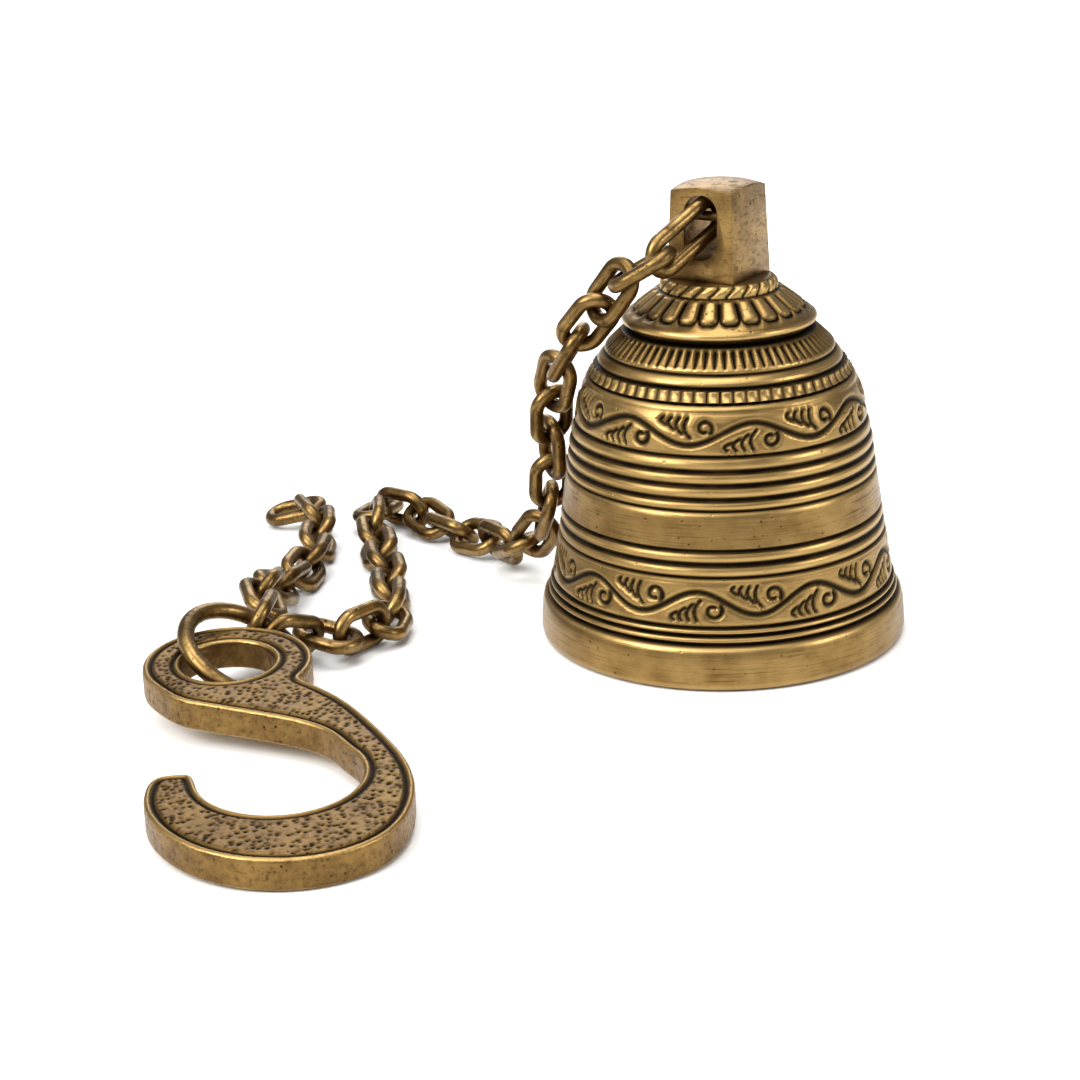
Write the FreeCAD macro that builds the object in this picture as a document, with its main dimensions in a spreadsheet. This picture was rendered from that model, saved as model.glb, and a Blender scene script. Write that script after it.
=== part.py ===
import FreeCAD, Part
import Sketcher
import math
import os

# A small cast-brass hanging bell with its carrying chain and S-hook, in millimetres.
# The origin is the centre of the bell's mouth, on the surface the bell stands on, +Z up.
# The bell stands mouth down; its chain falls down the left of the bell, runs across the
# floor in two loose folds and ends at a jump ring, from which the flat S-hook lies.

V = FreeCAD.Vector
doc = FreeCAD.newDocument("hanging_bell")
sheet = doc.addObject("Spreadsheet::Sheet", "sizes")

SIZES = [
    ("mouth_radius", 31.0), ("lower_field_radius", 28.85), ("waist_radius", 26.85),
    ("upper_field_radius", 24.4), ("shoulder_radius", 22.2), ("skirt_radius", 16.1),
    ("collar_radius", 9.0), ("collar_top", 61.3), ("cavity_top", 54.0),
    ("block_foot", 12.3), ("block_head", 11.1), ("crown_top", 77.0), ("block_turn", -30.0),
    ("dome_radius", 24.0), ("eye_width", 6.2), ("eye_height", 10.6), ("eye_centre", 69.9),
    ("stud_radius", 3.0), ("stud_end", 50.6), ("pin_diameter", 1.6), ("pin_depth", 3.0), ("pin_rise", 1.5),
    ("pin_length", 11.0),
    ("staple_wire", 1.8), ("staple_bend", 2.6), ("staple_level", 46.6), ("nut_radius", 4.6), ("nut_depth", 3.2),
    ("clapper_wire", 1.8), ("clapper_bend", 2.4), ("clapper_rod", 2.4), ("ball_radius", 5.6), ("ball_level", 12.5),
    ("wire", 2.4), ("link_length", 12.8), ("link_width", 8.4), ("first_link_length", 18.0),
    ("first_link_width", 7.8), ("slack", 0.2), ("ring_bend", 10.1), ("ring_wire", 2.8),
    ("hook_thickness", 5.0), ("hook_edge", 0.7), ("hook_eye", 13.5), ("hook_hole", 7.5), ("hook_bowl", 12.0),
]
for row, (alias, value) in enumerate(SIZES, start=1):
    sheet.set("A%d" % row, alias)
    sheet.set("B%d" % row, str(value))
    sheet.setAlias("B%d" % row, alias)
doc.recompute()
size = {alias: float(sheet.get(alias)) for alias, _ in SIZES}
made = []


def finish(obj, label, placement=None):
    """Name one finished piece and put it where it lies."""
    obj.Label = label
    if placement is not None:
        obj.Placement = placement
    made.append(obj)
    return obj


def primitive(kind, name, base=(0, 0, 0), turn=None, **cells):
    """A Part primitive whose sizes are bound to cells of the sheet."""
    obj = doc.addObject(kind, name)
    obj.Placement = FreeCAD.Placement(V(*base), turn or FreeCAD.Rotation())
    for prop, cell in cells.items():
        obj.setExpression(prop, cell)
    return obj


def boolean(kind, name, first, *others):
    """Fuse or cut Part objects."""
    if kind == "Part::Cut":
        obj = doc.addObject(kind, name)
        obj.Base = first
        obj.Tool = others[0]
        return obj
    obj = doc.addObject(kind, name)
    obj.Shapes = [first, *others]
    return obj


# The bell's casting: one turned profile, with the wall, the ribs and grooves of its
# bands, the flared skirt under the collar and the bore for the crown's stud.
# Each station is (radius, height); a radius is a cell of the sheet with an offset.
OUTSIDE = [
    ("mouth_radius", -0.7, 0.0), ("mouth_radius", 0.0, 0.9), ("mouth_radius", -0.1, 3.6),
    ("mouth_radius", -0.6, 6.2), ("mouth_radius", -1.1, 6.9),
    ("mouth_radius", -1.8, 6.95), ("mouth_radius", -1.75, 7.5), ("mouth_radius", -1.35, 7.9),
    ("mouth_radius", -1.45, 8.6), ("mouth_radius", -1.95, 8.95), ("mouth_radius", -1.7, 9.3),
    ("mouth_radius", -1.8, 9.7), ("mouth_radius", -2.3, 10.05),
    ("lower_field_radius", 0.0, 10.45), ("lower_field_radius", -1.1, 17.7),
    ("lower_field_radius", -1.55, 18.0), ("lower_field_radius", -1.15, 18.35),
    ("lower_field_radius", -1.4, 19.8), ("lower_field_radius", -1.85, 20.15),
    ("lower_field_radius", -1.5, 20.6), ("lower_field_radius", -1.75, 22.05),
    ("waist_radius", -0.45, 22.45), ("waist_radius", 0.0, 22.85), ("waist_radius", -0.7, 28.15),
    ("waist_radius", -1.15, 28.5), ("waist_radius", -0.8, 28.9), ("waist_radius", -1.0, 30.1),
    ("waist_radius", -1.45, 30.5), ("waist_radius", -1.1, 30.9), ("waist_radius", -1.3, 32.3),
    ("waist_radius", -1.75, 32.75), ("waist_radius", -1.4, 33.15), ("waist_radius", -1.6, 34.5),
    ("waist_radius", -2.05, 34.95), ("waist_radius", -1.75, 35.35), ("waist_radius", -2.2, 36.95),
    ("waist_radius", -2.75, 37.35),
    ("upper_field_radius", 0.0, 37.65), ("upper_field_radius", -0.5, 40.9),
    ("upper_field_radius", -1.8, 44.1), ("shoulder_radius", 0.2, 44.4), ("shoulder_radius", 0.0, 44.7),
    ("shoulder_radius", -0.45, 44.95), ("shoulder_radius", -0.15, 45.3), ("shoulder_radius", -0.5, 46.2),
    ("shoulder_radius", -1.2, 47.0), ("shoulder_radius", -1.75, 47.3), ("shoulder_radius", -1.8, 47.6),
    ("shoulder_radius", -2.7, 48.9), ("shoulder_radius", -3.15, 49.2), ("shoulder_radius", -3.1, 49.7),
    ("shoulder_radius", -3.6, 50.2), ("shoulder_radius", -5.8, 52.4), ("shoulder_radius", -7.2, 53.2),
    ("skirt_radius", -0.5, 53.6), ("skirt_radius", 0.0, 54.2), ("skirt_radius", -0.1, 54.9),
    ("skirt_radius", -1.7, 56.0), ("skirt_radius", -5.8, 59.0),
    ("collar_radius", 0.6, 59.6), ("collar_radius", 0.0, 60.9),
]
# The inside follows the outside at about the wall's thickness.
INSIDE = [
    ("stud_radius", 0.05, 61.3), ("stud_radius", 0.05, 54.0), ("collar_radius", -1.0, 54.0),
    ("skirt_radius", -2.6, 51.4), ("shoulder_radius", -4.9, 47.0), ("upper_field_radius", -3.6, 41.0),
    ("waist_radius", -4.2, 32.0), ("waist_radius", -3.0, 22.0), ("lower_field_radius", -3.0, 9.0),
    ("mouth_radius", -3.0, 0.8), ("mouth_radius", -2.6, 0.0),
]
bell = doc.addObject("PartDesign::Body", "bell_casting")
profile = bell.newObject("Sketcher::SketchObject", "bell_profile")
for feature in bell.Origin.OriginFeatures:
    if feature.Role == "XZ_Plane":
        profile.AttachmentSupport = [(feature, "")]
profile.MapMode = "FlatFace"
stations = OUTSIDE + [("collar_radius", -0.5, 61.3)] + INSIDE
corners = [V(size[cell] + offset, height, 0) for cell, offset, height in stations]
for start, end in zip(corners, corners[1:] + corners[:1]):
    profile.addGeometry(Part.LineSegment(start, end), False)
for side in range(len(corners)):
    after = (side + 1) % len(corners)
    profile.addConstraint(Sketcher.Constraint("Coincident", side, 2, after, 1))
for side, (cell, offset, height) in enumerate(stations):
    radius = profile.addConstraint(Sketcher.Constraint("DistanceX", -1, 1, side, 1, size[cell] + offset))
    profile.setExpression("Constraints[%d]" % radius, "sizes.%s + %s" % (cell, offset))
    if height:
        profile.addConstraint(Sketcher.Constraint("DistanceY", -1, 1, side, 1, height))
    else:
        profile.addConstraint(Sketcher.Constraint("PointOnObject", side, 1, -1))
doc.recompute()
turned = bell.newObject("PartDesign::Revolution", "bell_turned")
turned.Profile = profile
turned.ReferenceAxis = (profile, ["V_Axis"])
turned.Angle = 360.0
bell.Tip = turned
finish(bell, "bell_body")

# The crown: a tapered square block with a domed head and an upright oval eye, turned a
# third of a quarter from the bell's axes, on a stud that passes through the bell's top.
half = "sizes.block_foot / 2"
block = doc.addObject("Part::Wedge", "crown_taper")
for prop, cell in (("Xmin", "-%s" % half), ("Xmax", half), ("Zmin", "-%s" % half), ("Zmax", half),
                   ("X2min", "-sizes.block_head / 2"), ("X2max", "sizes.block_head / 2"),
                   ("Z2min", "-sizes.block_head / 2"), ("Z2max", "sizes.block_head / 2"),
                   ("Ymin", "0"), ("Ymax", "sizes.crown_top - sizes.collar_top")):
    block.setExpression(prop, cell)
block.Placement = FreeCAD.Placement(V(0, 0, size["collar_top"]), FreeCAD.Rotation(V(1, 0, 0), 90))
dome = primitive("Part::Sphere", "crown_dome", (0, 0, size["crown_top"] - size["dome_radius"]),
                 Radius="sizes.dome_radius")
crown = doc.addObject("Part::MultiCommon", "crown_domed")
crown.Shapes = [block, dome]
stud = primitive("Part::Cylinder", "crown_stud", (0, 0, size["stud_end"]), Radius="sizes.stud_radius",
                 Height="sizes.collar_top - sizes.stud_end + 1")
crown = boolean("Part::MultiFuse", "crown_on_stud", crown, stud)
across = FreeCAD.Rotation(V(0, 1, 0), 90)
straight = (size["eye_height"] - size["eye_width"]) / 2
eye_cuts = []
for step in (-1, 1):
    eye_cuts.append(primitive("Part::Cylinder", "eye_end_%d" % (step + 1),
                              (-10, 0, size["eye_centre"] + step * straight), across,
                              Radius="sizes.eye_width / 2", Height="20"))
eye_cuts.append(primitive("Part::Box", "eye_middle",
                          (-10, -size["eye_width"] / 2, size["eye_centre"] - straight),
                          Length="20", Width="sizes.eye_width", Height="sizes.eye_height - sizes.eye_width"))
pin_x = -(size["block_foot"] / 2 - 0.3 - size["pin_depth"])
pin_z = size["eye_centre"] + size["pin_rise"]
level = FreeCAD.Rotation(V(1, 0, 0), -90)
eye_cuts.append(primitive("Part::Cylinder", "pin_bore", (pin_x, -size["pin_length"] / 2 - 0.02, pin_z), level,
                          Radius="sizes.pin_diameter / 2 + 0.02", Height="sizes.pin_length + 0.04"))
crown = boolean("Part::Cut", "crown_cut", crown, boolean("Part::MultiFuse", "crown_openings", *eye_cuts))
# The eye opens along the block's own X. Turned, its front end points 30 degrees to the
# left of the bell's front, which is its -Y side.
turn = FreeCAD.Rotation(V(0, 0, 1), size["block_turn"] + 90)
finish(crown, "crown_lug", FreeCAD.Placement(V(0, 0, 0), turn))
pin = primitive("Part::Cylinder", "cross_pin", Radius="sizes.pin_diameter / 2", Height="sizes.pin_length")
finish(pin, "crown_pin", FreeCAD.Placement(turn.multVec(V(pin_x, -size["pin_length"] / 2, pin_z)),
                                           turn.multiply(level)))

# Inside the bell: a round nut with a hanging staple screwed on the stud, and the clapper.
nut = primitive("Part::Cylinder", "staple_nut", (0, 0, size["cavity_top"] - size["nut_depth"]),
                Radius="sizes.nut_radius", Height="sizes.nut_depth")
bore = primitive("Part::Cylinder", "staple_bore", (0, 0, size["stud_end"] - 0.05),
                 Radius="sizes.stud_radius + 0.05", Height="10")
cap = primitive("Part::Cylinder", "staple_cap", (0, 0, size["stud_end"] - 1.6),
                Radius="sizes.nut_radius - 0.6", Height="1.9")
nut = boolean("Part::Cut", "nut_bored", boolean("Part::MultiFuse", "nut_capped", nut, cap), bore)
upright = FreeCAD.Rotation(V(1, 0, 0), 90)
loop = primitive("Part::Torus", "staple_loop", (0, 0, size["staple_level"]), upright,
                 Radius1="sizes.staple_bend", Radius2="sizes.staple_wire / 2")
finish(boolean("Part::MultiFuse", "staple", nut, loop), "clapper_staple")
hang = size["staple_wire"] / 2 + size["clapper_wire"] / 2 + size["slack"]
pivot = size["staple_level"] - size["staple_bend"]
clapper_eye = pivot + hang - size["clapper_bend"]
loop = primitive("Part::Torus", "clapper_loop", (0, 0, clapper_eye), across,
                 Radius1="sizes.clapper_bend", Radius2="sizes.clapper_wire / 2")
rod = primitive("Part::Cylinder", "clapper_stem", (0, 0, size["ball_level"]), Radius="sizes.clapper_rod / 2",
                Height="%s - sizes.ball_level" % (clapper_eye - size["clapper_bend"]))
finish(boolean("Part::MultiFuse", "clapper_hanger", loop, rod), "clapper_rod")
ball = primitive("Part::Sphere", "striker", (0, 0, size["ball_level"]), Radius="sizes.ball_radius")
bore = primitive("Part::Cylinder", "striker_bore", (0, 0, size["ball_level"]),
                 Radius="sizes.clapper_rod / 2 + 0.02", Height="10")
finish(boolean("Part::Cut", "striker_bored", ball, bore), "clapper_ball")


# The chain. A link is an oval of round wire; its own X is its length and its Y its width.
def oval(label, length, width):
    """One link: two half rings and two straight sides, fused."""
    pieces = []
    shift = (size[length] - size[width]) / 2
    for end in (1, -1):
        bend = primitive("Part::Torus", "%s_bend_%d" % (label, end + 1), (end * shift, 0, 0),
                         FreeCAD.Rotation(V(0, 0, 1), -90 * end),
                         Radius1="(sizes.%s - sizes.wire) / 2" % width, Radius2="sizes.wire / 2", Angle3="180")
        side = primitive("Part::Cylinder", "%s_side_%d" % (label, end + 1),
                         (-shift, end * (size[width] - size["wire"]) / 2, 0), across,
                         Radius="sizes.wire / 2", Height="sizes.%s - sizes.%s" % (length, width))
        pieces += [bend, side]
    return boolean("Part::MultiFuse", label + "_oval", *pieces)


def unit(vector):
    return V(vector).normalize()


def smooth(points, steps=40):
    """A smooth run of points through the given ones (x, y, z, lean)."""
    run = []
    for k in range(len(points) - 1):
        a, b = points[max(k - 1, 0)], points[k]
        c, d = points[k + 1], points[min(k + 2, len(points) - 1)]
        for step in range(steps):
            t = step / steps
            run.append([0.5 * (2 * q + (r - p) * t + (2 * p - 5 * q + 4 * r - s) * t * t
                               + (3 * q - p - 3 * r + s) * t ** 3) for p, q, r, s in zip(a, b, c, d)])
    run.append(list(points[-1]))
    return [(V(*point[:3]), point[3]) for point in run]


def upward(place, along):
    """The side of a link that faces away from the bell while it hangs, and up on the floor."""
    share = min(max((place.z - 6) / 14, 0), 1)
    away = unit(V(place.x, place.y, 0)) * share + V(0, 0, 1) * (1 - share)
    return unit(away - along * away.dot(along))


def thread(run, bow, along, cross, reach, slack, count=99, parity=0):
    """Lay links along a run, each hooked in the bow before it. Returns (centre, along, cross)."""
    span = size["link_length"] - size["wire"]
    laid = []
    here = 0
    while len(laid) < count:
        ahead = V(along)
        for _ in range(10):
            bent = ahead - along * along.dot(ahead)
            share = 0.5 if bent.Length < 1e-3 else cross.dot(unit(bent)) ** 2
            start = bow - (along * share + ahead * (1 - share)) * (reach + slack)
            k = here
            while k < len(run) - 1 and not (run[k][0].distanceToPoint(start) < span
                                            <= run[k + 1][0].distanceToPoint(start)):
                k += 1
            if k >= len(run) - 1:
                return laid
            near = run[k][0].distanceToPoint(start)
            far = run[k + 1][0].distanceToPoint(start)
            end = run[k][0] + (run[k + 1][0] - run[k][0]) * ((span - near) / (far - near))
            ahead = unit(end - start)
        end = start + ahead * span
        centre = (start + end) * 0.5
        lean = min(run[here:k + 2], key=lambda point: point[0].distanceToPoint(centre))[1]
        lean = math.radians(lean - 90 * ((len(laid) + parity) % 2))
        up = upward(centre, ahead)
        cross = ahead.cross(up) * math.cos(lean) + up * math.sin(lean)
        laid.append((centre, ahead, cross))
        bow, along, here, reach = end, ahead, k, size["wire"]
    return laid


def outline(length, width, count=32):
    """The centre line of a link in its own plane, as (x, y)."""
    bend = (width - size["wire"]) / 2
    straight = (length - width) / 2
    curve = bend * math.pi
    whole = 2 * curve + 4 * straight
    points = []
    for k in range(count):
        s = whole * k / count
        if s < curve:
            points.append((straight + bend * math.sin(s / bend), -bend * math.cos(s / bend)))
        elif s < curve + 2 * straight:
            points.append((straight - (s - curve), bend))
        elif s < 2 * curve + 2 * straight:
            t = (s - curve - 2 * straight) / bend
            points.append((-straight - bend * math.sin(t), bend * math.cos(t)))
        else:
            points.append((-straight + (s - 2 * curve - 2 * straight), -bend))
    return points


def wall_radius(height):
    """The bell's outside radius at a height, taken a little full."""
    envelope = [(0, 31.0), (3, 31.0), (7, 30.4), (10.4, 28.9), (17.7, 27.8), (28.5, 26.2), (37.6, 24.5),
                (40.9, 24.0), (44, 22.7), (46.4, 21.4), (49.7, 19.2), (52.6, 16.2), (54.9, 16.2),
                (59, 10.4), (61.3, 9.0), (77, 8.8)]
    for (low, wide), (high, narrow) in zip(envelope, envelope[1:]):
        if height <= high:
            return wide + (narrow - wide) * (height - low) / (high - low)
    return 8.8


def settle(links, still, rounds):
    """Nudge the laid links until each one clears its neighbours, the bell and the floor."""
    shape = outline(size["link_length"], size["link_width"])
    half_wire = size["wire"] / 2
    clear = size["wire"] + 0.2
    state = [[V(c), V(a), V(b)] for c, a, b in links]
    for step in range(rounds):
        points = [[c + a * x + b * y for x, y in shape] for c, a, b in state]
        plain = [[(p.x, p.y, p.z) for p in row] for row in points]
        force = [V() for _ in state]
        twist = [V() for _ in state]

        def push(k, place, amount):
            force[k] += amount
            twist[k] += (place - state[k][0]).cross(amount)

        worst = 0
        for i, row in enumerate(plain):
            others = [(j, plain[j], clear) for j in range(i + 1, len(state))
                      if state[i][0].distanceToPoint(state[j][0]) < 14.5]
            others += [(None, curve, half_wire + radius + 0.2) for curve, radius in still]
            for j, other, need in others:
                best, p, q = need * need, None, None
                for m, (x, y, z) in enumerate(row):
                    for n, (u, v, w) in enumerate(other):
                        gap = (x - u) ** 2 + (y - v) ** 2 + (z - w) ** 2
                        if gap < best:
                            best, p, q = gap, m, n
                if p is None:
                    continue
                gap = math.sqrt(best)
                away = (points[i][p] - V(*other[q])) * ((need - gap) / gap)
                worst = max(worst, need - gap)
                if j is None:
                    push(i, points[i][p], away)
                else:
                    push(i, points[i][p], away * 0.5)
                    push(j, points[j][q], away * -0.5)
            low = min(points[i], key=lambda point: point.z)
            if low.z < half_wire + 0.03:
                push(i, low, V(0, 0, half_wire + 0.03 - low.z))
            elif step < rounds / 2 and state[i][0].z < 7 and low.z > half_wire + 0.05:
                force[i] += V(0, 0, -0.03)
            near = min(points[i], key=lambda point: math.hypot(point.x, point.y) - wall_radius(point.z))
            short = half_wire + 0.3 - math.hypot(near.x, near.y) + wall_radius(near.z)
            if short > 0:
                push(i, near, unit(V(near.x, near.y, 0)) * short)
        calm = 1.0 if step < rounds / 2 else 0.6
        for k, (centre, along, cross) in enumerate(state):
            turning = twist[k] * 0.02 * calm
            state[k][0] = centre + force[k] * 0.5 * calm
            if turning.Length > 1e-9:
                spin = FreeCAD.Rotation(turning, math.degrees(turning.Length))
                along = spin.multVec(along)
                cross = spin.multVec(cross)
                state[k][1] = unit(along)
                state[k][2] = unit(cross - along * along.dot(cross))
    print("links settled, closest pair short by %.3f mm" % worst)
    return state


def lie(centre, along, cross):
    """A placement with X along a link and Y across it."""
    frame = FreeCAD.Rotation(along, cross, along.cross(cross), "XYZ")
    return FreeCAD.Placement(centre, frame)


# The first link is longer. It hangs on the crown's pin and slopes down out of the eye.
slope, heading = math.radians(-27), math.radians(-138)
first_along = V(math.cos(slope) * math.cos(heading), math.cos(slope) * math.sin(heading), math.sin(slope))
first_cross = unit(first_along.cross(V(0, 0, 1))).cross(first_along)
hold = size["pin_diameter"] / 2 + size["wire"] / 2 + size["slack"]
pin_middle = turn.multVec(V(pin_x, 0, pin_z))
first_half = (size["first_link_length"] - size["wire"]) / 2
first_centre = pin_middle + first_along * (first_half - hold)
first_bow = first_centre + first_along * first_half
finish(oval("first", "first_link_length", "first_link_width"), "link_00",
       lie(first_centre, first_along, first_cross))

# The jump ring leans over to the left with its low side under the hook's eye.
facing = math.radians(70)
tilt = math.radians(58)
ring_across = V(math.cos(facing), math.sin(facing), 0)
ring_up = V(-math.sin(facing), math.cos(facing), 0) * math.sin(tilt) + V(0, 0, math.cos(tilt))
ring_middle = V(-77.4, -29.6, size["ring_bend"] * math.cos(tilt) + size["ring_wire"] / 2 + 0.02)
ring = primitive("Part::Torus", "jump_ring_wire", Radius1="sizes.ring_bend", Radius2="sizes.ring_wire / 2")
finish(ring, "jump_ring", lie(ring_middle, ring_across, ring_up))


def on_ring(degrees):
    """A point of the ring's centre line and the ring's direction there."""
    t = math.radians(degrees)
    place = ring_middle + (ring_across * math.cos(t) + ring_up * math.sin(t)) * size["ring_bend"]
    return place, ring_up * math.cos(t) - ring_across * math.sin(t)


# The main run: down the left of the bell, over the floor, round a fold and to the ring.
# Beside the bell a point is (distance from the axis, bearing, height, lean).
BESIDE = [(18.8, 207, 59.4, 90), (23.9, 191, 52.4, 45), (27.8, 178, 45, 45), (29.8, 169, 37, 45),
          (30.6, 162, 29.5, 45), (31.8, 157, 22, 45), (34.4, 152, 15, 45), (38.5, 149, 9.5, 20)]
ACROSS = [(-38, 26.5, 5.2, 0), (-42, 34, 3.6, 20), (-48, 39, 3.6, 45), (-54, 44.5, 3.6, 45),
          (-58.5, 51, 3.6, 20), (-64, 56.5, 3.8, 0), (-69, 52.5, 3.8, 0), (-67.0, 44, 3.6, 20),
          (-64.4, 34.0, 3.6, 45), (-61.5, 22, 3.6, 45), (-58.8, 10, 3.6, 45), (-57.0, -4.0, 3.8, 20),
          (-58.5, -13.5, 3.8, 0), (-64.5, -16.5, 4, 0), (-70.0, -12.5, 5.0, 0)]
wrap = (size["ring_wire"] + size["wire"]) / 2 + size["slack"]
held, grain = on_ring(-12)
inward = V(-0.4, -0.85, 0.15)
inward = unit(inward - grain * grain.dot(inward))
goal = held + inward * wrap
route = [(*first_bow, 90)]
for reach, bearing, height, lean in BESIDE:
    route.append((reach * math.cos(math.radians(bearing)), reach * math.sin(math.radians(bearing)), height, lean))
route = smooth(route + ACROSS + [(*goal, 0)])
MAIN_LINKS = 28
best = None
for hundredths in range(12, 90):
    laid = thread(route, first_bow, first_along, first_cross, size["wire"], hundredths / 100, MAIN_LINKS)
    if len(laid) == MAIN_LINKS:
        miss = (laid[-1][0] + laid[-1][1] * (size["link_length"] - size["wire"]) / 2).distanceToPoint(goal)
        if best is None or miss < best[0]:
            best = (miss, hundredths / 100, laid)
print("main run of %d links, slack %.2f mm a link, ends %.2f mm from the ring" % (MAIN_LINKS, best[1], best[0]))

# The spare end: from the ring up over a hump and back along the floor beside the fold.
SPARE = [(-79.5, -3.5, 9.5, 45), (-78.5, 7.0, 6.0, 45), (-76.6, 17, 3.8, 45), (-75.6, 26, 3.6, 45),
         (-76, 35, 3.6, 45), (-77.4, 46.1, 3.6, 45), (-80.3, 54.7, 3.8, 20), (-86.0, 58.5, 4, 0),
         (-91, 53, 4, 0), (-91, 49, 4, 0)]
held, grain = on_ring(18)
outward = V(-0.25, 0.9, 0.1)
outward = unit(outward - grain * grain.dot(outward))
span = size["link_length"] - size["wire"]
start = held - outward * wrap
spare_cross = grain.cross(outward)
spare = [(start + outward * (span / 2), outward, spare_cross)]
spare += thread(smooth([(*(start + outward * span), 45)] + SPARE), start + outward * span, outward,
                spare_cross, size["wire"], 0.25, parity=1)

first_line = [first_centre + first_along * x + first_cross * y
              for x, y in outline(size["first_link_length"], size["first_link_width"], 40)]
ring_line = [on_ring(step * 6)[0] for step in range(60)]
still = [([(p.x, p.y, p.z) for p in first_line], size["wire"] / 2),
         ([(p.x, p.y, p.z) for p in ring_line], size["ring_wire"] / 2)]
# The band round the hook's eye, as two thick rings at half its height.
eye_centre = V(-78.6, -36.8, 6.0)
for band in (size["hook_hole"] + 2.7, size["hook_eye"] - 2.7):
    circle = [(eye_centre.x + band * math.cos(math.radians(6 * k)),
               eye_centre.y + band * math.sin(math.radians(6 * k)), eye_centre.z) for k in range(60)]
    still.append((circle, 2.8))
poses = settle(best[2] + spare, still, 320)
for number, (centre, along, cross) in enumerate(poses, start=1):
    label = "link_%02d" % number if number <= MAIN_LINKS else "spare_%02d" % (number - MAIN_LINKS)
    finish(oval(label, "link_length", "link_width"), label, lie(centre, along, cross))

# The S-hook: a flat casting of one thickness. Its eye and the inside of its bowl are true
# arcs; the back, the neck and the rounded tip are free curves. Its own origin is the
# centre of the bowl, and it rests on the bowl's far edge and on the ring under its eye.
bowl = size["hook_bowl"]
eye_at = V(-15.0, 37.7, 0)


def polar(middle, radius, degrees):
    t = math.radians(degrees)
    return V(middle.x + radius * math.cos(t), middle.y + radius * math.sin(t), 0)


def tangent(middle, place, way):
    """The direction of a circle at a point, anticlockwise for 1 and clockwise for -1."""
    spoke = place - middle
    return unit(V(-spoke.y, spoke.x, 0)) * way


def through(points, first_way, last_way):
    """A smooth edge through points, with its end directions given."""
    curve = Part.BSplineCurve()
    places = [V(*p) if isinstance(p, tuple) else p for p in points]
    curve.interpolate(Points=places, InitialTangent=first_way, FinalTangent=last_way)
    return curve.toShape()


tip_in, tip_out = polar(V(), bowl, 199), polar(V(), bowl, 41)
neck, notch = polar(eye_at, size["hook_eye"], 219), polar(eye_at, size["hook_eye"], 335)
edges = [
    Part.Arc(tip_in, polar(V(), bowl, 300), tip_out).toShape(),
    through([tip_out, (4.6, 13.6, 0), (-1.5, 17.3, 0), (-8.5, 19.7, 0), (-16.5, 22.2, 0), neck],
            tangent(V(), tip_out, 1), tangent(eye_at, neck, -1)),
    Part.Arc(neck, polar(eye_at, size["hook_eye"], 90), notch).toShape(),
    through([notch, (4.5, 25.8, 0), (12.0, 15.6, 0), (18.0, 4.5, 0), (20.2, -6.5, 0), (17.3, -17.6, 0),
             (9.5, -23.6, 0), (0.0, -24.6, 0), (-9.5, -20.8, 0), (-15.9, -13.8, 0), (-18.4, -6.2, 0),
             (-17.3, -1.4, 0), (-14.2, -0.5, 0), tip_in], V(0.8, -0.6, 0), tangent(V(), tip_in, 1)),
]
face = Part.Face(Part.Wire(edges))
face = face.cut(Part.Face(Part.Wire(Part.Circle(eye_at, V(0, 0, 1), size["hook_hole"]).toShape())))
solid = face.extrude(V(0, 0, size["hook_thickness"])).Solids[0]
inner_corner = [edge for edge in solid.Edges if edge.BoundBox.ZLength > 1
                and math.hypot(edge.Vertexes[0].X - notch.x, edge.Vertexes[0].Y - notch.y) < 0.01]
solid = solid.makeFillet(1.5, inner_corner)
rims = [edge for edge in solid.Edges if edge.BoundBox.ZLength < 1e-6]
hook = doc.addObject("Part::Feature", "s_hook_casting")
hook.Shape = solid.makeFillet(size["hook_edge"], rims)
long_way = unit(eye_at)
tip_up = FreeCAD.Rotation(long_way.cross(V(0, 0, 1)), 3.1)
hook.Placement = FreeCAD.Placement(V(-63.6, -74.5, 0), tip_up)
rest = -hook.Shape.optimalBoundingBox(False).ZMin
finish(hook, "s_hook", FreeCAD.Placement(V(-63.6, -74.5, rest), tip_up))
print("hook raised by %.2f mm at the bowl" % rest)

doc.recompute()
for obj in doc.Objects:
    if "Invalid" in obj.State or "Error" in obj.State:
        raise RuntimeError("%s failed: %s" % (obj.Name, obj.State))
os.makedirs("parts", exist_ok=True)
for obj in made:
    shape = obj.Shape
    if shape.isNull() or not shape.isValid() or len(shape.Solids) != 1:
        raise RuntimeError("%s is not one valid solid" % obj.Label)
    shape.exportStep("parts/%s.step" % obj.Label)
print("%d pieces written" % len(made))
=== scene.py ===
import math

import bpy
import numpy as np
from mathutils import Matrix, Vector, noise
from mathutils.kdtree import KDTree


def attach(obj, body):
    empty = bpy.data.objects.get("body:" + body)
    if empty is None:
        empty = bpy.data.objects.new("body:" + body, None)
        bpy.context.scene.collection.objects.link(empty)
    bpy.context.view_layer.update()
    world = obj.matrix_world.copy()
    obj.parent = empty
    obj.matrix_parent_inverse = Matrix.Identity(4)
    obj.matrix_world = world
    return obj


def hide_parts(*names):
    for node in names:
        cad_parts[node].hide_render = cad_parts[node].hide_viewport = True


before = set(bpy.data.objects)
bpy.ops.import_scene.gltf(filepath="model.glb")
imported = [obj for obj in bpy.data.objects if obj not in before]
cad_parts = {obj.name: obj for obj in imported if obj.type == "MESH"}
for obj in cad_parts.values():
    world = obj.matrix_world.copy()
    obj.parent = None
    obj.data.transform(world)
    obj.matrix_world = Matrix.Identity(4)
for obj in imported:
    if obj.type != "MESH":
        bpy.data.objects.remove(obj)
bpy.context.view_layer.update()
bpy.ops.object.select_all(action="DESELECT")
MM = 0.001

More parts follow.
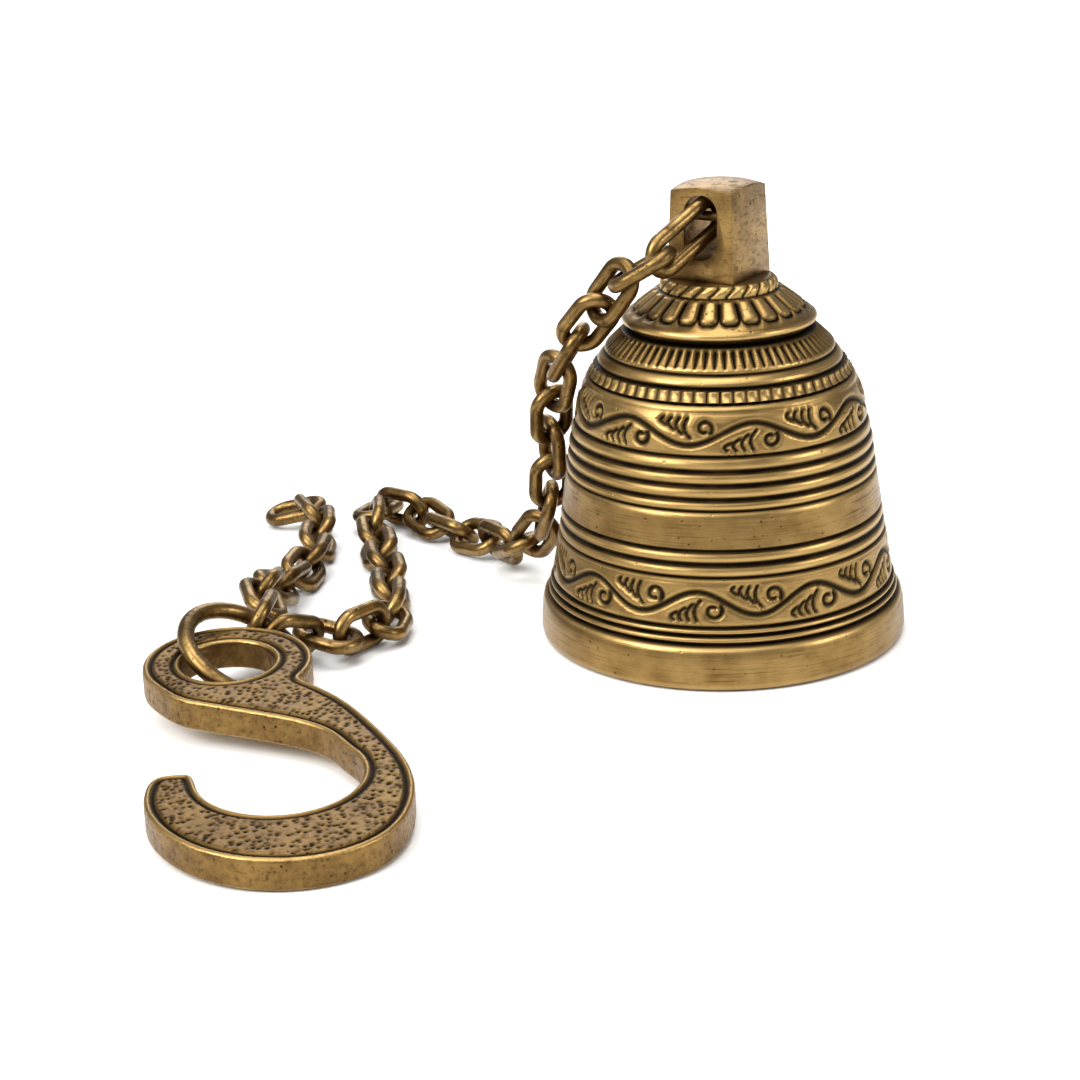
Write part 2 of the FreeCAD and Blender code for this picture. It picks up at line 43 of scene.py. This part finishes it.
# The bell. Sand-cast yellow brass, turned on a lathe for its ribs and grooves, then chased
# by hand: petals and rays on the shoulder, a row of spool beads and two bands of scrolls.
# Old polish has worn the raised work bright and left black tarnish in every recess.
columns = 504
strands, petals, rays, beads = 22, 24, 72, 64
rows = [(8.5, 61.2, "plain", 0.0, 0.3, 0.0)]


def run(radius, height, steps=1, zone="plain", dark=0.0, worn=0.0):
    """Add rows of the turned outline down to one point: radius, height, zone, share, tarnish, wear."""
    from_radius, from_height = rows[-1][:2]
    for step in range(1, steps + 1):
        share = step / steps
        rows.append((from_radius + (radius - from_radius) * share,
                     from_height + (height - from_height) * share, zone, share, dark, worn))


def rib(top_radius, top, bottom_radius, bottom, proud=0.2):
    """A turned half-round rib with a deep dark groove under it."""
    for share, lift, dark, worn in ((0, -0.12, 0.8, 0), (0.22, 0.7, 0, 0.5), (0.5, 1, 0, 1),
                                    (0.78, 0.7, 0, 0.5), (1, -0.12, 0.8, 0)):
        radius = top_radius + (bottom_radius - top_radius) * share + proud * lift - proud
        rows.append((radius, top + (bottom - top) * share, "plain", share, dark, worn))
    run(bottom_radius - 0.42, bottom - 0.38, dark=1.0)


run(8.75, 61.1, dark=0.6)
run(9.15, 60.75, 2, "rope")
run(9.5, 60.2, 2, "rope")
run(9.75, 59.5, 3, "rope")
run(9.7, 59.2, dark=1.0)
run(10.25, 59.0, dark=0.4)
run(14.4, 55.95, 14, "petals")
run(15.5, 55.15, 2)
run(16.0, 54.75, worn=1)
run(16.1, 54.3, worn=1)
run(15.9, 53.85)
run(15.3, 53.45, dark=0.6)
run(14.9, 53.0, dark=1.0)
run(15.7, 52.85, dark=1.0)
run(16.2, 52.6, dark=0.6)
run(18.7, 50.2, 9, "rays")
run(18.95, 49.85, worn=1)
run(19.05, 49.55)
run(18.9, 49.2, dark=1.0)
rib(19.5, 48.95, 20.55, 47.6, 0.25)
run(20.85, 47.0, dark=0.8)
run(21.95, 45.2, 9, "beads")
run(21.8, 44.96, dark=1.0)
run(22.4, 44.6, worn=1)
run(22.55, 44.2)
run(23.35, 42.5, 6, "upper")
run(23.9, 40.9, 6, "upper")
run(24.4, 37.6, 12, "upper")
run(24.0, 37.3, dark=1.0)
rib(24.7, 36.98, 25.15, 35.34)
rib(25.3, 34.56, 25.5, 33.14)
rib(25.6, 32.34, 25.8, 30.91)
rib(25.88, 30.11, 26.05, 28.95)
run(26.1, 28.2, worn=0.6)
run(26.9, 22.78, 7)
run(26.5, 22.4, dark=1.0)
rib(27.05, 21.99, 27.3, 20.6)
rib(27.4, 19.75, 27.6, 18.35)
run(27.7, 17.7, worn=0.5)
run(28.85, 10.5, 25, "lower")
run(28.45, 10.1, dark=1.0)
rib(29.25, 9.85, 29.35, 9.2)
rib(29.6, 8.6, 29.75, 7.85)
run(29.9, 7.2, dark=0.7)
run(30.4, 6.85, worn=1)
run(30.75, 5.4, 2)
run(30.95, 2.8, 3)
run(31.0, 1.3, 2)
run(30.8, 0.45, worn=0.8)
run(30.3, 0.0)
run(28.4, 0.0, dark=0.2)
run(28.0, 0.8)
for radius, height in ((25.85, 9.0), (23.85, 22.0), (22.65, 32.0), (20.8, 41.0), (17.3, 47.0), (13.5, 51.4),
                       (8.0, 54.0), (3.05, 54.0), (3.05, 61.25)):
    run(radius, height, 1, dark=0.75)

outline = bpy.data.meshes.new("bell_casting")
outline.from_pydata([(r * MM, 0, z * MM) for r, z, *_ in rows],
                    [(k, (k + 1) % len(rows)) for k in range(len(rows))], [])
bell = bpy.data.objects.new("bell_casting", outline)
bpy.context.collection.objects.link(bell)


def alone(piece):
    """Select one piece and nothing else."""
    bpy.ops.object.select_all(action="DESELECT")
    piece.select_set(True)
    bpy.context.view_layer.objects.active = piece


alone(bell)
bpy.ops.object.mode_set(mode="EDIT")
bpy.ops.mesh.select_all(action="SELECT")
bpy.ops.mesh.spin(steps=columns, angle=2 * math.pi, center=(0, 0, 0), axis=(0, 0, 1))
bpy.ops.mesh.select_all(action="SELECT")
bpy.ops.mesh.remove_doubles(threshold=0.000005)
bpy.ops.mesh.normals_make_consistent(inside=False)
bpy.ops.object.mode_set(mode="OBJECT")

# The chasing is worked out row by row: how deep the tool went, and how dark it is there.
count = len(bell.data.vertices)
place = np.zeros(count * 3)
bell.data.vertices.foreach_get("co", place)
place = place.reshape(-1, 3)
around = np.arctan2(place[:, 1], place[:, 0])
reach = np.hypot(place[:, 0], place[:, 1])
tree = KDTree(len(rows))
for k, (r, z, *_) in enumerate(rows):
    tree.insert((r * MM, z * MM, 0), k)
tree.balance()
row = np.array([tree.find((r, z, 0))[1] for r, z in zip(reach, place[:, 2])])
flat = np.array([(r, z) for r, z, *_ in rows])
slope = np.roll(flat, -1, axis=0) - np.roll(flat, 1, axis=0)
outward = np.column_stack([-slope[:, 1], slope[:, 0]])
outward /= np.linalg.norm(outward, axis=1)[:, None]
zone = np.array([r[2] for r in rows])[row]
share = np.array([r[3] for r in rows])[row]
dark = np.array([r[4] for r in rows])[row].astype(float)
worn = np.array([r[5] for r in rows])[row].astype(float)
front = around + math.pi / 2
radius = flat[row, 0]
depth = np.zeros(count)


def soft(distance, width):
    """A smooth groove section: 1 on its line, 0 beyond its width."""
    return np.exp(-(distance / width) ** 2)


# A twisted rope round the crown's foot.
here = zone == "rope"
drop = (61.1 - flat[row[here], 1]) / 1.6
turn = (front[here] / (2 * math.pi / strands) + 0.55 * drop) % 1
edge = np.minimum(turn, 1 - turn) * 2.6
cut = soft(edge, 0.36)
depth[here] = 0.22 * np.sin(math.pi * np.clip(drop, 0, 1)) * (1 - (2 * turn - 1) ** 2) - 0.38 * cut
dark[here] = cut
worn[here] = 0.8 * (1 - cut)

# Petals round the skirt, each with a domed face and a rounded tip.
petal_angle = math.radians(360 / petals)
here = zone == "petals"
turn = front[here] / petal_angle % 1
edge = np.minimum(turn, 1 - turn) * radius[here] * petal_angle
tip = share[here] * 5.15 - (4.8 - 1.5 * (2 * turn - 1) ** 4)
inside_petal = tip < 0
cut = np.maximum(soft(edge, 0.42) * inside_petal, soft(tip, 0.4))
depth[here] = 0.25 * (1 - (2 * turn - 1) ** 2) * inside_petal - 0.5 * cut
dark[here] = np.clip(1.3 * cut + 0.3 * (tip > 0.2), 0, 1)
worn[here] = 0.5 * inside_petal * (1 - cut) * soft(2 * turn - 1, 0.5)

# Rays, tapering punch cuts under the skirt.
ray_angle = math.radians(360 / rays)
here = zone == "rays"
turn = (front[here] / ray_angle % 1 - 0.5) * radius[here] * ray_angle
cut = soft(turn, 0.48 - 0.3 * share[here])
depth[here] = -0.55 * cut * (1 - 0.4 * share[here])
dark[here] = np.maximum(dark[here], np.clip(1.35 * cut, 0, 1))

# Spool beads round the shoulder, each with a waist.
here = zone == "beads"
turn = np.abs(2 * (front[here] / (2 * math.pi / beads) % 1) - 1)
body = np.sqrt(np.clip(1 - turn ** 2, 0, 1))
waist = 0.55 + 0.45 * (2 * share[here] - 1) ** 2
ends = np.clip(np.minimum(share[here], 1 - share[here]) / 0.12, 0, 1)
depth[here] = -0.45 + 0.8 * body * waist * ends ** 0.5
dark[here] = np.clip(1.6 - 1.75 * body * (0.7 + 0.3 * waist) * ends, 0, 1)
worn[here] = 0.9 * (body * ends) ** 3


def scroll(zone_name, waves, first_peak, height):
    """Chase a running vine with a curl and short strokes in each hollow."""
    here = np.nonzero(zone == zone_name)[0]
    low, high = place[here, 2].min() / MM, place[here, 2].max() / MM
    middle_radius = radius[here].mean()
    period = 2 * math.pi * middle_radius / waves
    strokes = []
    for half in (0, 1):
        sign = 1 - 2 * half
        for step in range(60):
            t = step / 60
            strokes.append((period * (half / 2 + t / 2), sign * 0.27 * height * math.sin(math.pi * t), 0.74))
        centre = period * (0.25 + half / 2)
        for step in range(60):
            t = step / 59
            angle = math.radians(35 - 330 * t) * sign
            size = height * (0.2 - 0.11 * t)
            strokes.append((centre + 0.13 * period + size * math.cos(angle),
                            -sign * 0.16 * height + size * math.sin(angle), 0.64 - 0.14 * t))
        for number, lean in enumerate((-0.20, -0.135, -0.07, -0.005)):
            for step in range(16):
                t = step / 15
                bend = 0.035 * math.sin(math.pi * t)
                strokes.append((centre + period * (lean - bend + 0.03 * t),
                                -sign * height * (0.4 - (0.19 + 0.1 * number) * t), 0.5))
    curve = KDTree(len(strokes) * 3)
    for k, (x, y, wide) in enumerate(strokes):
        for lap in (-1, 0, 1):
            curve.insert((x + lap * period, y, 0), k)
    curve.balance()
    for k in here:
        x = (front[k] - math.radians(first_peak)) * middle_radius + period / 4
        y = (place[k, 2] / MM - low) / (high - low) - 0.5
        _, which, gap = curve.find((x % period, y * height, 0))
        cut = max(0.0, 1 - gap / (strokes[which][2] * 1.15))
        cut = cut * cut * (3 - 2 * cut)
        edge = 0.5 - abs(y)
        depth[k] = -0.55 * cut - 0.1 + 0.12 * min(1, edge / 0.06)
        dark[k] = min(1, 1.8 * cut + 0.25 * (edge < 0.03))
        worn[k] = 0.35 * (1 - cut)


scroll("upper", 7, 12.8, 6.7)
scroll("lower", 9, -8.0, 7.4)
moved = depth * MM
place[:, 0] += np.cos(around) * outward[row, 0] * moved
place[:, 1] += np.sin(around) * outward[row, 0] * moved
place[:, 2] += outward[row, 1] * moved
bell.data.vertices.foreach_set("co", place.ravel())
for name, values in (("tarnish", dark), ("wear", worn)):
    layer = bell.data.attributes.new(name, "FLOAT", "POINT")
    layer.data.foreach_set("value", np.clip(values, 0, 1).astype(np.float32))
alone(bell)
bpy.ops.object.shade_smooth_by_angle(angle=math.radians(50))


def linear(colour):
    """An sRGB hex colour as linear light."""
    parts = [int(colour[k:k + 2], 16) / 255 for k in (1, 3, 5)]
    return (*[c / 12.92 if c <= 0.04045 else ((c + 0.055) / 1.055) ** 2.4 for c in parts], 1)


def add(tree, kind, settings=(), links=()):
    """Add one node with its settings, its input values and what feeds it."""
    made = tree.nodes.new(kind)
    for key, value in dict(settings).items():
        if isinstance(key, int) or key in made.inputs:
            made.inputs[key].default_value = value
        else:
            setattr(made, key, value)
    for key, source in dict(links).items():
        tree.links.new(source, made.inputs[key])
    return made


def old_brass(name, bright, dull, black, roughness, grain, marks=False, worked=False):
    """Yellow brass dulled by age. Grain is the scratch size in mm along x, y and z."""
    material = bpy.data.materials.new(name)
    material.use_nodes = True
    tree = material.node_tree
    shader = tree.nodes["Principled BSDF"]
    shader.inputs["Metallic"].default_value = 1.0
    where = add(tree, "ShaderNodeTexCoord").outputs["Object"]
    # Handling marks and uneven tarnish, in blotches a few millimetres wide.
    blotch = add(tree, "ShaderNodeTexNoise", {"Scale": 1 / (5.5 * MM), "Detail": 6.0, "Roughness": 0.62},
                 {"Vector": where}).outputs["Fac"]
    cloud = add(tree, "ShaderNodeMapRange", {"From Min": 0.34, "From Max": 0.68},
                {"Value": blotch}).outputs[0]
    tone = add(tree, "ShaderNodeMix", {"data_type": "RGBA", 6: linear(dull), 7: linear(bright)}, {0: cloud})
    # Fine scratches from polishing.
    stretched = add(tree, "ShaderNodeMapping", {"Scale": tuple(1 / (g * MM) for g in grain)},
                    {"Vector": where}).outputs[0]
    scratch = add(tree, "ShaderNodeTexNoise", {"Scale": 1.0, "Detail": 3.0, "Roughness": 0.7},
                  {"Vector": stretched}).outputs["Fac"]
    line = add(tree, "ShaderNodeMapRange", {"From Min": 0.52, "From Max": 0.7}, {"Value": scratch}).outputs[0]
    # Small casting pits, under half a millimetre across.
    pits = add(tree, "ShaderNodeTexVoronoi", {"Scale": 1 / (1.5 * MM), "Randomness": 1.0}, {"Vector": where})
    pit = add(tree, "ShaderNodeMapRange", {"From Min": 0.06, "From Max": 0.2, "To Min": 1.0, "To Max": 0.0},
              {"Value": pits.outputs["Distance"]}).outputs[0]
    spotted = add(tree, "ShaderNodeTexNoise", {"Scale": 1 / (4.0 * MM), "Detail": 2.0}, {"Vector": where})
    few = add(tree, "ShaderNodeMapRange", {"From Min": 0.46, "From Max": 0.56},
              {"Value": spotted.outputs["Fac"]})
    pit = add(tree, "ShaderNodeMath", {"operation": "MULTIPLY"}, {0: pit, 1: few.outputs[0]}).outputs[0]
    shade = add(tree, "ShaderNodeMath", {"operation": "MULTIPLY", 1: 0.75}, {0: pit}).outputs[0]
    shade = add(tree, "ShaderNodeMath", {"operation": "MULTIPLY_ADD", 1: 0.55},
                {0: line, 2: shade}).outputs[0]
    if marks:
        recess = add(tree, "ShaderNodeAttribute", {"attribute_name": "tarnish"}).outputs["Fac"]
        uneven = add(tree, "ShaderNodeMath", {"operation": "MULTIPLY_ADD", 1: 0.5, 2: -0.2},
                     {0: blotch}).outputs[0]
        recess = add(tree, "ShaderNodeMath", {"operation": "ADD", "use_clamp": True}, {0: recess, 1: uneven})
        shade = add(tree, "ShaderNodeMath", {"operation": "MAXIMUM"},
                    {0: recess.outputs[0], 1: shade}).outputs[0]
    colour = add(tree, "ShaderNodeMix", {"data_type": "RGBA", 7: linear(black)},
                 {0: shade, 6: tone.outputs[2]})
    if worked:
        edge = add(tree, "ShaderNodeAttribute", {"attribute_name": "wear"}).outputs["Fac"]
        edge = add(tree, "ShaderNodeMath", {"operation": "MULTIPLY", 1: 0.6}, {0: edge}).outputs[0]
        colour = add(tree, "ShaderNodeMix", {"data_type": "RGBA", 7: linear("#C9A76A")},
                     {0: edge, 6: colour.outputs[2]})
    tree.links.new(colour.outputs[2], shader.inputs["Base Color"])
    rough = add(tree, "ShaderNodeMapRange", {"To Min": roughness - 0.08, "To Max": roughness + 0.14},
                {"Value": scratch})
    rough = add(tree, "ShaderNodeMath", {"operation": "MULTIPLY_ADD", 1: 0.3, "use_clamp": True},
                {0: shade, 2: rough.outputs[0]})
    tree.links.new(rough.outputs[0], shader.inputs["Roughness"])
    fine = add(tree, "ShaderNodeBump", {"Strength": 0.6, "Distance": 0.05 * MM}, {"Height": scratch})
    hollow = add(tree, "ShaderNodeMath", {"operation": "MULTIPLY_ADD", 1: -1.0},
                 {0: pit, 2: blotch}).outputs[0]
    worked_face = add(tree, "ShaderNodeBump", {"Strength": 0.5, "Distance": 0.12 * MM},
                      {"Height": hollow, "Normal": fine.outputs[0]})
    tree.links.new(worked_face.outputs[0], shader.inputs["Normal"])
    return material


bell.data.materials.append(old_brass("turned antique brass", "#A0824F", "#785D34", "#140E08", 0.3,
                                     (9.0, 9.0, 0.22), marks=True, worked=True))
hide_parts("bell_body")
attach(bell, "bell")


# The crown. A square brass block with a domed head and an upright pierced eye, cast in one
# with the stud that goes down through the bell. Its corners are filed and rubbed round.
def from_cad(name, node):
    """A clean copy of a CAD solid's mesh to finish by hand."""
    piece = bpy.data.objects.new(name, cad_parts[node].data.copy())
    piece.data.name = name
    piece.data.materials.clear()
    bpy.context.collection.objects.link(piece)
    alone(piece)
    bpy.ops.object.mode_set(mode="EDIT")
    bpy.ops.mesh.select_all(action="SELECT")
    bpy.ops.mesh.remove_doubles(threshold=0.000002)
    bpy.ops.object.mode_set(mode="OBJECT")
    return piece


crown = from_cad("crown_block", "crown_lug")
bpy.ops.object.mode_set(mode="EDIT")
bpy.ops.mesh.select_all(action="SELECT")
bpy.ops.mesh.dissolve_limited(angle_limit=math.radians(2))
bpy.ops.object.mode_set(mode="OBJECT")
soften = crown.modifiers.new("filed_edges", "BEVEL")
soften.width = 0.7 * MM
soften.segments = 3
soften.limit_method = "ANGLE"
soften.angle_limit = math.radians(40)
bpy.ops.object.modifier_apply(modifier=soften.name)
bpy.ops.object.shade_smooth_by_angle(angle=math.radians(35))
crown.data.materials.append(old_brass("filed antique brass", "#9A7C4B", "#6E5430", "#181109", 0.34,
                                      (1.6, 1.6, 0.5)))
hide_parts("crown_lug")
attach(crown, "bell")

# The hidden pin, the staple and the clapper: plain drawn wire and a cast ball, never
# polished, so they have gone brown.
inner = old_brass("drawn brass wire, brown", "#7C6239", "#523D22", "#171009", 0.42, (0.6, 0.6, 3.0))
for node in ("crown_pin", "clapper_staple", "clapper_rod", "clapper_ball"):
    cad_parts[node].data.materials.clear()
    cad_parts[node].data.materials.append(inner)

# The chain. Oval links bent from round brass wire and closed by a butt joint. The wire is
# smooth and a little shiny where the links rub, and dull in between.
wire = old_brass("bent brass wire", "#927648", "#5C4526", "#171009", 0.3, (1.2, 1.2, 1.2))
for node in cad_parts:
    if node.startswith(("link_", "spare_")) or node == "jump_ring":
        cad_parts[node].data.materials.clear()
        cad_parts[node].data.materials.append(wire)

# The S-hook. A flat sand casting: one groove follows its outline on the face, the field
# inside the groove is punched all over, and the side walls still show the hammer.
groove_in, groove_half, groove_deep = 1.25, 0.42, 0.4
punch_field, punch_deep = 1.75, 0.3
hook = from_cad("s_hook_casting", "s_hook")
hook.data.remesh_voxel_size = 0.24 * MM
hook.data.use_remesh_preserve_volume = True
bpy.ops.object.voxel_remesh()
count = len(hook.data.vertices)
place = np.zeros(count * 3)
facing = np.zeros(count * 3)
hook.data.vertices.foreach_get("co", place)
hook.data.vertices.foreach_get("normal", facing)
place, facing = place.reshape(-1, 3), facing.reshape(-1, 3)
up = facing[facing[:, 2] > 0.97].mean(axis=0)
up /= np.linalg.norm(up)
lift = facing @ up
level = place - np.outer(place @ up, up)
wall = np.nonzero(np.abs(lift) < 0.45)[0]
rim = KDTree(len(wall))
for k in wall:
    rim.insert(level[k], k)
rim.balance()
dark = np.zeros(count)
worn = np.zeros(count)
sink = np.zeros(count)
for k in range(count):
    point = Vector(place[k]) / MM
    if lift[k] > 0.8:
        gap = rim.find(level[k])[2] / MM
        cut = math.exp(-((gap - groove_in) / groove_half) ** 4)
        sink[k] = -groove_deep * cut
        dark[k] = cut
        worn[k] = 0.6 * math.exp(-((gap - 0.4) / 0.35) ** 2)
        if gap > punch_field:
            cells = noise.voronoi(point * 1.05)[0][0]
            punch = max(0.0, 1 - cells / 0.5)
            sink[k] -= punch_deep * punch
            dark[k] = max(dark[k], min(1.0, 1.5 * punch) + 0.1)
    elif abs(lift[k]) < 0.5:
        beat = noise.noise(point * 0.9) * 0.6 + noise.noise(point * 2.1) * 0.4
        sink[k] = 0.09 * beat - 0.05
        dark[k] = max(0.0, -beat * 0.7)
    else:
        worn[k] = 0.8
place += facing * (sink * MM)[:, None]
hook.data.vertices.foreach_set("co", place.ravel())
for name, values in (("tarnish", dark), ("wear", worn)):
    layer = hook.data.attributes.new(name, "FLOAT", "POINT")
    layer.data.foreach_set("value", np.clip(values, 0, 1).astype(np.float32))
bpy.ops.object.shade_smooth()
hook.data.materials.append(old_brass("punched antique brass", "#937443", "#624A2A", "#130D07", 0.36,
                                     (0.8, 0.8, 0.8), marks=True, worked=True))
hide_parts("s_hook")
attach(hook, "s_hook")

# The studio. A white paper floor far wider than the view, a soft box at the left, the right,
# the back and overhead, and a wide pale ceiling light that fills the shadows.
bpy.ops.mesh.primitive_plane_add(size=60, location=(0, 0, -0.0002))
floor = bpy.context.active_object
floor.name = "paper_floor"
paper = bpy.data.materials.new("white paper")
paper.use_nodes = True
paper.node_tree.nodes["Principled BSDF"].inputs["Base Color"].default_value = linear("#F4F4F3")
paper.node_tree.nodes["Principled BSDF"].inputs["Roughness"].default_value = 0.9
floor.data.materials.append(paper)
for name, spot, wide, power, target in (
        ("left_box", (-0.55, -0.45, 0.5), 0.4, 5.0, (0, 0, 0.03)),
        ("right_box", (0.7, -0.25, 0.35), 0.25, 2.2, (0, 0, 0.03)),
        ("top_box", (0.0, 0.1, 0.9), 0.5, 3.0, (-0.02, 0, 0)),
        ("back_box", (-0.1, 0.8, 0.5), 0.5, 2.5, (0, 0, 0.03))):
    light = bpy.data.lights.new(name, "AREA")
    light.size = wide
    light.energy = power
    lamp = bpy.data.objects.new(name, light)
    lamp.location = spot
    lamp.rotation_euler = (Vector(target) - Vector(spot)).to_track_quat("-Z", "Y").to_euler()
    bpy.context.collection.objects.link(lamp)
sky = bpy.data.lights.new("ceiling", "SUN")
sky.energy = 2.4
sky.angle = math.radians(70)
lamp = bpy.data.objects.new("ceiling", sky)
lamp.rotation_euler = (math.radians(18), math.radians(-12), 0)
bpy.context.collection.objects.link(lamp)
world = bpy.data.worlds.new("studio")
world.use_nodes = True
world.node_tree.nodes["Background"].inputs["Color"].default_value = (1, 1, 1, 1)
world.node_tree.nodes["Background"].inputs["Strength"].default_value = 0.35
bpy.context.scene.world = world
bpy.context.scene.view_settings.view_transform = "Standard"

# The camera. It stands well back with a short telephoto lens, looks down on the bell and is
# tipped a little to one side.
camera_back, camera_up = 0.3739, 0.1450
yaw, pitch, roll = math.radians(-4.742), math.radians(19.058), math.radians(-2.120)
forward = Vector((math.sin(yaw) * math.cos(pitch), math.cos(yaw) * math.cos(pitch), -math.sin(pitch)))
side = Vector((math.cos(yaw), -math.sin(yaw), 0))
above = side.cross(forward)
right = side * math.cos(roll) + above * math.sin(roll)
above = above * math.cos(roll) - side * math.sin(roll)
lens = bpy.data.cameras.new("camera")
lens.sensor_width = 36
lens.lens = 77.14
lens.clip_start = 0.01
camera = bpy.data.objects.new("camera", lens)
camera.matrix_world = Matrix((
    (right.x, above.x, -forward.x, 0), (right.y, above.y, -forward.y, -camera_back),
    (right.z, above.z, -forward.z, camera_up), (0, 0, 0, 1)))
bpy.context.collection.objects.link(camera)
bpy.context.scene.camera = camera
